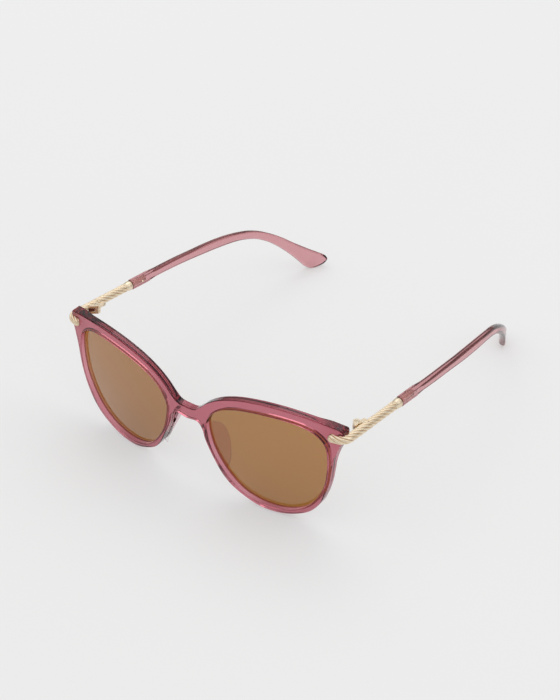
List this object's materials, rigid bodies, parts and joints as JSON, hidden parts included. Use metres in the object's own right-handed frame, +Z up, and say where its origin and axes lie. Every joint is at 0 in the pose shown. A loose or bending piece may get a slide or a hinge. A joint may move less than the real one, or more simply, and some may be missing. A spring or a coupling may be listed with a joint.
{
  "type": "sunglasses",
  "caption": "Cat eye sunglasses with a curved front, seated lenses, nose pads, rope twist metal corners and arms, and plastic temples that fold on screw hinges.",
  "frame": {"origin": "middle of the footprint, on the table that the rims and the temple tips stand on", "axes": "+X to the wearer's left, -Y out of the front, +Y along the temples, +Z up"},
  "size_m": [0.144, 0.1682, 0.0549],
  "materials": {
    "rose_plastic": "polished translucent rose plastic",
    "pale_plastic": "polished pale translucent rose plastic",
    "bronze_lens": "bronze mirror coated tinted lens",
    "gold_rope": "pale champagne gold plating, bright",
    "gold_hinge": "champagne gold plating, satin",
    "screw_steel": "turned and plated steel"
  },
  "bodies": {
    "front": {"frame_front": "rose_plastic", "lens_left": "bronze_lens", "lens_right": "bronze_lens", "nose_pad_left": "pale_plastic", "nose_pad_right": "pale_plastic", "corner_trim_left": "gold_rope", "corner_trim_right": "gold_rope", "trim_screw_left": "screw_steel", "trim_screw_right": "screw_steel", "front_hinge_left": "gold_hinge", "front_hinge_right": "gold_hinge", "hinge_screw_left": "screw_steel", "hinge_screw_right": "screw_steel"},
    "temple_left": {"temple_hinge_left": "gold_hinge", "rope_arm_left": "gold_rope", "temple_tip_left": "rose_plastic", "tang_pin_left": "screw_steel"},
    "temple_right": {"temple_hinge_right": "gold_hinge", "rope_arm_right": "gold_rope", "temple_tip_right": "rose_plastic", "tang_pin_right": "screw_steel"}
  },
  "joints": [
    {"name": "left_temple_fold", "type": "hinge", "parent": "front", "child": "temple_left", "pos_m": [0.0668, -0.061, 0.04695], "axis": [0, 0.1167, 0.9932], "range_deg": [0, 87]},
    {"name": "right_temple_fold", "type": "hinge", "parent": "front", "child": "temple_right", "pos_m": [-0.0668, -0.061, 0.04695], "axis": [0, -0.1167, -0.9932], "range_deg": [0, 78]}
  ]
}
